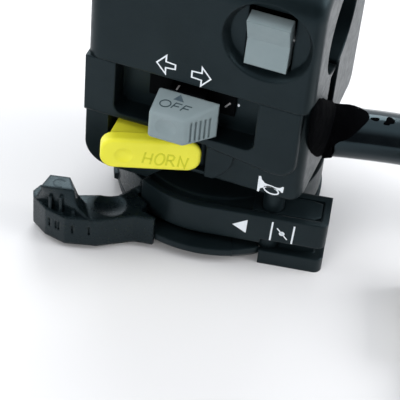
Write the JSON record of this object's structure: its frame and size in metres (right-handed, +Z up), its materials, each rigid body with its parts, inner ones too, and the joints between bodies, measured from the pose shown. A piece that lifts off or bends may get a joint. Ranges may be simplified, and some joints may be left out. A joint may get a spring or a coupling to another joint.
{
  "type": "motorcycle handlebar switch cluster with starter lever",
  "caption": "Left handlebar switch cluster: split clamp housing, turn slider, horn button, dimmer rocker, starter lever unit and loom with connector.",
  "frame": {"origin": "on the handlebar's axis, at the middle of the clamp housing's width", "axes": "+X along the handlebar to the side that the loom leaves, -Y towards the rider, +Z up"},
  "size_m": [0.2343, 0.1376, 0.075],
  "materials": {
    "housing": "fine grained blue-black moulding",
    "lever": "fine grained blue-black moulding",
    "knob": "smooth mid grey",
    "horn_face": "smooth yellow",
    "rocker": "smooth mid grey",
    "inner_plastic": "plain insulating board",
    "contact": "bare",
    "steel": "zinc plated",
    "sleeve": "smooth black sleeve",
    "wrap": "rough black wrap",
    "connector": "smooth off-white"
  },
  "bodies": {
    "housing": {"rear_upper_housing": "housing", "rear_lower_housing": "housing", "front_housing": "housing", "turn_contact_board": "inner_plastic", "turn_terminals": "contact", "horn_pivot_pin": "steel", "horn_contact_plate": "inner_plastic", "horn_spring": "steel", "dimmer_pivot_pin": "steel", "dimmer_contact_block": "inner_plastic", "choke_base": "housing", "choke_cover": "housing", "choke_pivot_bush": "steel", "choke_friction_washer": "steel", "choke_pivot_screw": "steel", "tail_screw": "steel", "cover_screw_left": "steel", "cover_screw_right": "steel", "housing_screw_lower_left": "steel", "housing_screw_lower_right": "steel", "housing_screw_upper": "steel", "loom_wrap": "wrap", "loom_sleeve": "sleeve", "loom_wires": "sleeve", "connector_shell": "connector", "connector_terminals": "contact"},
    "turn_slider": {"slider_knob": "knob", "slider_shield": "inner_plastic", "slider_carrier": "inner_plastic", "detent_ball": "steel", "detent_spring": "steel"},
    "horn": {"horn_button": "horn_face"},
    "dimmer": {"dimmer_rocker": "rocker"},
    "starter_lever": {"choke_lever": "lever"}
  },
  "joints": [
    {"name": "turn_slide", "type": "slide", "parent": "housing", "child": "turn_slider", "axis": [1, 0, 0], "range_m": [-0.0058, 0.0058]},
    {"name": "horn_press", "type": "hinge", "parent": "housing", "child": "horn", "pos_m": [0.001, -0.0156, -0.02995], "axis": [0, 0, -1], "range_deg": [0, 9], "stiffness_Nm_per_rad": 0.15, "springref_deg": -5.73, "deforming": ["horn_spring"]},
    {"name": "dimmer_rock", "type": "hinge", "parent": "housing", "child": "dimmer", "pos_m": [0.0138, -0.0162, 0.0058], "axis": [-1, 0, 0], "range_deg": [0, 16]},
    {"name": "choke_turn", "type": "hinge", "parent": "housing", "child": "starter_lever", "pos_m": [0.0009, 0.0015, -0.048], "axis": [0, 0, 1], "range_deg": [-60, 0]}
  ]
}
